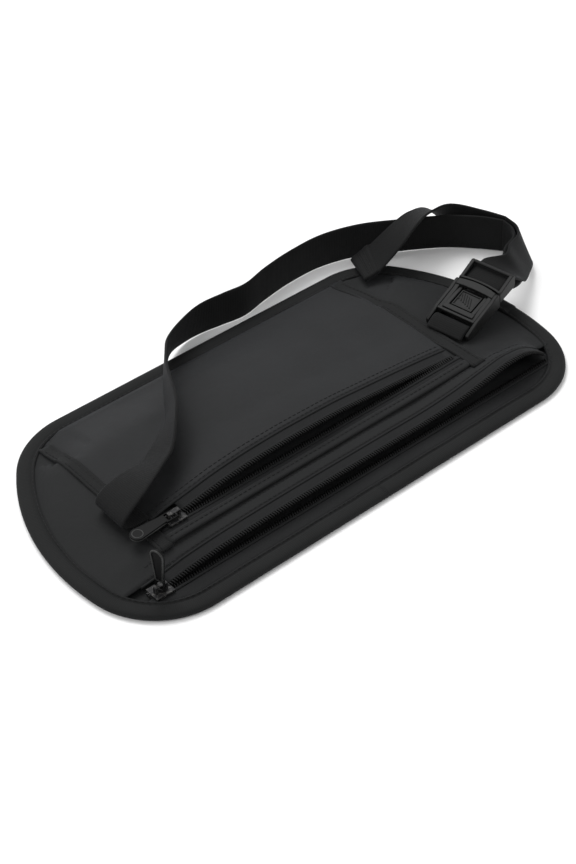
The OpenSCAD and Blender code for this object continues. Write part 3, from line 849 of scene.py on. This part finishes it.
BEND_HIGH = [[163, 27, 20], [161.5, 20, 20], [156, 14, 20.5], [146, 10, 21], [138.5, 5.5, 20.5],
             [130, 7.5, 17.8], [124.8, 8.4, 15.8]]
TAIL_B_LOW = [[129.6, -10.7, 20.4], [135.5, -10, 17.4], [144.3, -6.8, 10.4], [155.4, 0.2, 6],
              [165, 7.3, 2.9], [169.2, 16.4, 1.2], [166.7, 27.6, 0.9]]
TAIL_B_HIGH = [[125.8, 8.5, 20.4], [131.6, 9, 21.6], [139.8, 4.2, 22.8], [147.4, 8.6, 22.8],
               [158, 13, 21.4], [163.7, 19.6, 20.8], [165, 27.6, 20.8]]
TAIL_A_LOW = [[166.7, 27.6, 0.9], [160.5, 39, 1.5], [153, 52.5, 7], [142, 59.5, 18.5], [131.5, 60.7, 21.4],
              [121, 60.2, 21.2], [108, 64, 11], [97, 66, 4.5]]
TAIL_A_HIGH = [[165, 27.6, 20.8], [159.5, 38.5, 21.5], [147, 48.5, 25.5], [131, 47, 28], [121, 45.2, 26.2],
               [110, 44.2, 19], [98.5, 45.8, 9.6], [88.8, 46.8, 7.2]]

strap_a = webbing("waist_strap_webbing", STRAP_LOW, STRAP_HIGH, 8, 1.3, wobble=0.25)
strap_b = webbing("waist_strap_bend_webbing", BEND_LOW, BEND_HIGH, 8, 1.3, u0=420)
tail_b = webbing("strap_tail_bend_webbing", TAIL_B_LOW, TAIL_B_HIGH, 8, 1.3, u0=50)
tail_a = webbing("strap_tail_webbing", TAIL_A_LOW, TAIL_A_HIGH, 8, 1.3, u0=100, wobble=0.2, seed=4.0)


def build_tail_hem(length=10.5):
    """The tail's end, folded over and sewn across: a second layer with rounded folds."""
    low, high = spline(TAIL_A_LOW, 24)[::-1], spline(TAIL_A_HIGH, 24)[::-1]
    along = distances((low + high) / 2)
    n = int(np.searchsorted(along, length)) + 1
    low, high, along = low[:n], high[:n], along[:n]
    wide = high - low
    face = np.cross(frames((low + high) / 2), wide)
    face /= np.linalg.norm(face, axis=1, keepdims=True)
    face = np.where(face[:, 2:3] < 0, -face, face)
    # the end turns round in a small roll, and the inner edge steps down
    swell = np.interp(along, [0, 0.8, 2.0, 4.0, 5.2, 6.4, 8.6, 9.6, length],
                      [0.9, 1.45, 1.6, 1.25, 1.5, 1.25, 1.5, 1.4, 0.2])
    # the cross-section: share of the strap's width, and share of the swell
    section = [(0, 0.9), (0.04, 1), (0.35, 1.04), (0.65, 0.98), (0.96, 1), (1, 0.9)]
    verts = []
    for i in range(n):
        verts.append(low[i] - face[i] * 0.72)
        verts += [low[i] + wide[i] * a + face[i] * swell[i] * b for a, b in section]
        verts.append(high[i] - face[i] * 0.72)
    m = len(section) + 2
    uv = [(along[i], j * 3.0) for i in range(n) for j in range(m)]
    hem = add_mesh("strap_tail_hem", verts, swept_faces(n, m) + end_caps(n, m), M_WEB, uv)
    rows = []
    for k, at in enumerate((3.9, 6.4)):
        i = int(np.searchsorted(along, at))
        line = [low[i] + wide[i] * t + face[i] * (swell[i] + 0.08) for t in np.linspace(0.03, 0.97, 12)]
        rows.append(stitches(f"strap_tail_hem_stitches_{k + 1}", line, face[i], 2.3, 1.8, 0.16))
    return hem, rows


tail_hem, tail_rows = build_tail_hem()
place(tail_hem, "pouch")
for row in tail_rows:
    place(row, "pouch")

# ---------------------------------------------------------------- buckle
BUCKLE_AT = Vector((88, -9, 11))
BUCKLE = Matrix.Translation(BUCKLE_AT * MM) @ Matrix.Rotation(math.radians(11.5), 4, "Z") \
    @ Matrix.Rotation(math.radians(-12), 4, "Y")


def in_buckle(x, y, z):
    """A point of the buckle's own frame, in the row's frame."""
    return tuple((BUCKLE @ (Vector((x, y, z)) * MM)) / MM)


def buckle_webbing(name, line, half=9.7, thick=1.25):
    """Webbing whose mid-line is given as (x, z) in the buckle's own frame."""
    edges = [[in_buckle(x, y, z) for x, z in line] for y in (-half, half)]
    return webbing(name, *edges, 4, thick)


wrap_line = [(38.6, -2.9), (37.0, -2.3), (35.4, -2.0), (33.2, -1.95), (31.2, -1.5), (30.5, 0), (31.2, 1.5),
             (33.2, 1.95), (35.4, 2.05), (37.4, 2.1), (39.6, 2.2), (41.6, 2.2)]
wrap = buckle_webbing("strap_wrap_webbing", wrap_line)
place(wrap, "buckle_plug", ["strap_wrap"])

loop_line = [(-1.6, -2.2), (1.5, -2.3), (4.1, -2.15), (6.0, -1.9), (7.1, -0.5), (6.0, 0.9), (4.1, 1.1),
             (1.5, 0.5), (-1.6, -0.6)]
loop = buckle_webbing("buckle_loop_webbing", loop_line, thick=1.1)


def round_edges(obj, width, segments, angle):
    """Rounds the edges that are sharper than an angle in degrees."""
    bevel = obj.modifiers.new("edges", "BEVEL")
    bevel.width = width * MM
    bevel.segments = segments
    bevel.limit_method = "ANGLE"
    bevel.angle_limit = math.radians(angle)
    bevel.harden_normals = True


def moulding(name, parts, material, bevel, segments=3, matrix=BUCKLE):
    """Moulded parts in a matrix's frame. Each is ("xy" or "xz", points, low, high): an outline in
    that plane, extruded between low and high along the third axis."""
    bm = bmesh.new()
    for plane, points, low, high in parts:
        ends = []
        for value in (low, high):
            corners = [(a, b, value) if plane == "xy" else (a, value, b) for a, b in points]
            ends.append([bm.verts.new(matrix @ (Vector(p) * MM)) for p in corners])
        bm.faces.new(ends[0])
        bm.faces.new(list(reversed(ends[1])))
        n = len(points)
        for i in range(n):
            j = (i + 1) % n
            bm.faces.new((ends[0][i], ends[1][i], ends[1][j], ends[0][j]))
    bmesh.ops.recalc_face_normals(bm, faces=bm.faces)
    mesh = bpy.data.meshes.new(name)
    bm.to_mesh(mesh)
    bm.free()
    mesh.materials.append(material)
    mesh.polygons.foreach_set("use_smooth", [True] * len(mesh.polygons))
    obj = bpy.data.objects.new(name, mesh)
    bpy.context.scene.collection.objects.link(obj)
    round_edges(obj, bevel, segments, 28)
    return obj


def box_xy(x0, x1, y0, y1):
    return [(x0, y0), (x1, y0), (x1, y1), (x0, y1)]


def round_bar(x, z, r, n=14):
    return [(x + a, z + b) for a, b in circle(r, 0, 2 * math.pi, n + 1)[:-1]]


def flipped(points):
    """An outline mirrored to the other side of the buckle."""
    return [(x, -y) for x, y in reversed(points)]


SOCKET_HALF, BAR_HALF = 11.8, 10.2
wall = [(1.0, -2.3), (1.6, -2.6), (8.2, -4.2), (28.1, -4.2), (28.2, 3.4), (27.6, 4.4), (26.2, 4.75),
        (24.6, 4.5), (21.5, 3.7), (9.2, 2.75), (7.6, 2.2), (1.6, 0.9), (1.0, 0.4)]
inner_wall = [(8.2, -4.0), (28.0, -4.0), (28.0, 4.2), (24.6, 4.3), (21.5, 3.45), (9.4, 2.5), (8.2, 2.1)]
bowed_bridge = [(24.0, -10.2), (27.6, -10.2), (28.4, -7.0), (28.9, -3.5), (29.05, 0), (28.9, 3.5),
                (28.4, 7.0), (27.6, 10.2), (24.0, 10.2), (24.5, 6.0), (24.7, 0), (24.5, -6.0)]
socket_parts = [("xz", wall, -SOCKET_HALF, -10.1),
                ("xz", wall, 10.1, SOCKET_HALF),
                ("xz", inner_wall, -10.2, -7.9),
                ("xz", inner_wall, 7.9, 10.2),
                ("xy", box_xy(8.3, 28.0, -10.4, 10.4), -4.1, -3.2),
                ("xy", bowed_bridge, 3.15, 4.75),
                ("xy", box_xy(12.2, 24.6, -8.2, -6.1), 1.7, 3.15),
                ("xy", box_xy(12.2, 24.6, 6.1, 8.2), 1.7, 3.15),
                ("xy", box_xy(9.9, 12.7, -8.4, 8.4), 1.5, 3.2),
                ("xy", box_xy(8.2, 9.7, -10.2, 10.2), 1.1, 2.75),
                ("xz", round_bar(5.2, -0.5, 1.2), -BAR_HALF, BAR_HALF)]
socket = moulding("buckle_socket_moulding", socket_parts, M_BUCKLE, 0.38)
place(socket, "buckle_socket", ["buckle_socket"])

PLUG_HALF = 11.6
rail = [(28.6, -2.3), (40.6, -2.4), (41.6, -1.0), (41.9, 3.4), (41.3, 5.0), (40.2, 5.45), (38.6, 5.2),
        (34.0, 4.25), (28.6, 3.3)]
shoulder = [(28.7, -11.4), (29.4, -8.0), (29.9, -4.0), (30.05, 0), (29.9, 4.0), (29.4, 8.0), (28.7, 11.4),
            (29.9, 11.4), (30.7, 8.0), (31.2, 4.0), (31.35, 0), (31.2, -4.0), (30.7, -8.0), (29.9, -11.4)]
arm = box_xy(11.2, 28.8, 6.15, 8.2)
plug_parts = [("xz", rail, -PLUG_HALF, -9.75),
              ("xz", rail, 9.75, PLUG_HALF),
              ("xy", shoulder, 2.5, 4.1),
              ("xy", flipped(arm), -1.0, 0.6),
              ("xy", arm, -1.0, 0.6),
              ("xy", box_xy(27.2, 29.7, -11.2, 11.2), -1.0, 0.6),
              ("xz", round_bar(32.4, 0.0, 1.2), -BAR_HALF, BAR_HALF),
              ("xz", round_bar(40.6, 4.4, 0.95), -BAR_HALF, BAR_HALF)]
plug = moulding("buckle_plug_moulding", plug_parts, M_BUCKLE, 0.38)
place(plug, "buckle_plug", ["buckle_plug"])

TAB_HALF = 5.5
tab_parts = [("xy", box_xy(13.2, 26.8, -TAB_HALF, TAB_HALF), -0.9, 0.5),
             ("xy", box_xy(13.25, 23.3, 0.05 - TAB_HALF, TAB_HALF - 0.05), 0.3, 2.45)]
# the button's raised frame
for y0, y1 in ((-TAB_HALF, 0.75 - TAB_HALF), (TAB_HALF - 0.75, TAB_HALF)):
    tab_parts.append(("xy", box_xy(13.2, 23.35, y0, y1), 2.0, 2.95))
for x0, x1 in ((13.2, 13.95), (22.6, 23.35)):
    tab_parts.append(("xy", box_xy(x0, x1, 0.3 - TAB_HALF, TAB_HALF - 0.3), 2.0, 2.95))
tab = moulding("push_tab_moulding", tab_parts, M_BUCKLE, 0.22, 2)
place(tab, "push_tab", ["push_tab"])
# slanting grip ribs, cut off along the button's frame
SLANT, RIB_HALF = 0.42, 0.27
ribs = []
for k in range(6):
    x0, y0 = 17.2 - 0.55 * k, 4.2 - 1.5 * k
    run = min(22.3 - x0, (4.7 - y0) / SLANT if k else 22.3 - x0, 5.6)
    x0 += 0.5
    x1, y1 = x0 + run, y0 + run * SLANT
    if y1 > 4.6:
        x1, y1 = x0 + (4.6 - y0) / SLANT, 4.6
    corners = [(x0, y0 - RIB_HALF), (x1, y1 - RIB_HALF), (x1, y1 + RIB_HALF), (x0, y0 + RIB_HALF)]
    ribs.append(("xy", corners, 2.2, 2.85))
place(moulding("push_tab_ribs", ribs, M_BUCKLE, 0.12, 2), "push_tab")


# ---------------------------------------------------------------- sliders and pulls
def dress_slider(node):
    """Rounds a CAD slider's cast edges and gives it its material."""
    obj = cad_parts[node]
    obj.data.materials.clear()
    obj.data.materials.append(M_METAL)
    obj.data.polygons.foreach_set("use_smooth", [True] * len(obj.data.polygons))
    round_edges(obj, 0.18, 3, 32)
    obj.modifiers.new("normals", "WEIGHTED_NORMAL").keep_sharp = True


dress_slider("main_slider")
dress_slider("patch_slider")


def build_pull(node, at, turn, rise):
    """A zip pull: a tapered plate with a raised rim round its hollow back and a ring on its face."""
    matrix = (Matrix.Translation(Vector(at) * MM) @ Matrix.Rotation(math.radians(turn), 4, "Z")
              @ Matrix.Rotation(math.radians(rise), 4, "Y") @ Matrix.Rotation(math.pi, 4, "Z"))
    end_x, half_turn = 18.5, math.pi / 2
    end = [(end_x + x, y) for x, y in circle(3.3, -half_turn - 0.1, half_turn + 0.1, 17)]
    plate = [(4.2, -1.9)] + end + [(4.2, 1.9)]
    arm = box_xy(-0.9, 4.8, 1.86, 2.4)
    parts = [("xy", plate, -0.1, 0.78),
             ("xy", arm, -0.6, 0.6),
             ("xy", flipped(arm), -0.6, 0.6),
             ("xy", box_xy(4.0, 5.2, -2.35, 2.35), -0.6, 0.7),
             ("xz", round_bar(0, 0, 0.6, 12), -2.1, 2.1)]
    place(moulding(node + "_plate", parts, M_PULL, 0.16, 2, matrix), node, [node])

    up = matrix.to_3x3() @ Vector((0, 0, 1))

    def rim(name, line, height, radius):
        """A round bead along a closed line on the plate, in a lighter copy of the pull rubber that paints a
        highlight on it.
        """
        points = [(matrix @ (Vector((x, y, height)) * MM)) / MM for x, y in line]
        n, sides = len(points), 8
        verts = []
        for i, p in enumerate(points):
            along = points[min(i + 1, n - 1)] - points[max(i - 1, 0)]
            side = along.cross(up).normalized()
            section = circle(radius, 0, 2 * math.pi, sides + 1)[:-1]
            verts += [tuple(p + side * a + up * b) for a, b in section]
        bead = add_mesh(name, verts, swept_faces(n, sides, True), M_PULL_BEAD_PAINTED_HIGHLIGHT)
        place(bead, node)

    wide = [(end_x + x, y) for x, y in circle(2.95, -half_turn, half_turn, 15)]
    rim(node + "_back_rim", [(4.6, -1.75), (11, -2.35)] + wide + [(11, 2.35), (4.6, 1.75)], -0.35, 0.42)
    ring = [(end_x + x, y) for x, y in circle(2.3, 0, 2 * math.pi, 25)[:-1]]
    rim(node + "_face_ring", ring, 0.66, 0.3)


build_pull("main_pull", (-109, MAIN_ZIP_Y, 5.45), 15, 88)
build_pull("patch_pull", (-84, PATCH_ZIP_Y, 13.25), 0, 0)

# ---------------------------------------------------------------- strap and lip pieces: CAD parts hidden, transforms baked, meshes made their own
for obj, node in ((strap_a, "waist_strap"), (strap_b, "strap_bend"), (tail_b, "strap_tail_bend"),
                  (tail_a, "strap_tail"), (loop, "buckle_loop")):
    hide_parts(node)


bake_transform(strap_a)
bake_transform(strap_b)
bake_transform(tail_a)
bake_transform(tail_b)
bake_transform(loop)
for obj, joint, normal, point in squashed:
    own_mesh(obj)

# ---------------------------------------------------------------- floor, light, camera
floor_mesh = bpy.data.meshes.new("floor")
floor_mesh.from_pydata([(-4, -4, 0), (4, -4, 0), (4, 4, 0), (-4, 4, 0)], [], [(0, 1, 2, 3)])
floor = bpy.data.objects.new("floor", floor_mesh)
bpy.context.scene.collection.objects.link(floor)
floor.location.z = -0.0001
pale = Nodes("pale_floor")
pale.bsdf.inputs["Base Color"].default_value = (0.93, 0.93, 0.93, 1)
pale.bsdf.inputs["Roughness"].default_value = 0.8
pale.bsdf.inputs["Specular IOR Level"].default_value = 0.1
floor_mesh.materials.append(pale.mat)

scene = bpy.context.scene
world = bpy.data.worlds.new("studio")
scene.world = world
world.use_nodes = True
world.node_tree.nodes["Background"].inputs[0].default_value = (1, 1, 1, 1)
world.node_tree.nodes["Background"].inputs[1].default_value = 0.55


def area_light(name, at, size, power):
    """A soft light that points at the middle of the pouch."""
    data = bpy.data.lights.new(name, "AREA")
    data.shape = "RECTANGLE"
    data.size, data.size_y = size
    data.energy = power
    obj = bpy.data.objects.new(name, data)
    scene.collection.objects.link(obj)
    obj.location = at
    obj.rotation_euler = (-Vector(at)).to_track_quat("-Z", "Y").to_euler()


area_light("key", (0.15, 0.7, 1.1), (0.9, 0.7), 13)
area_light("left", (-0.95, 0.1, 0.7), (0.5, 0.9), 4.2)
area_light("right", (0.75, -0.55, 0.6), (0.6, 0.5), 2.2)

camera_data = bpy.data.cameras.new("camera")
camera = bpy.data.objects.new("camera", camera_data)
scene.collection.objects.link(camera)
camera_data.lens = 72.19
camera_data.sensor_width = 36
camera_data.clip_end = 20
camera.location = (-0.3789, -0.4396, 0.5152)
look_at = Vector((-0.00578, -0.00573, 0))
camera.rotation_euler = (look_at - camera.location).to_track_quat("-Z", "Y").to_euler()
scene.camera = camera
scene.view_settings.view_transform = "Standard"
scene.view_settings.exposure = 0.0
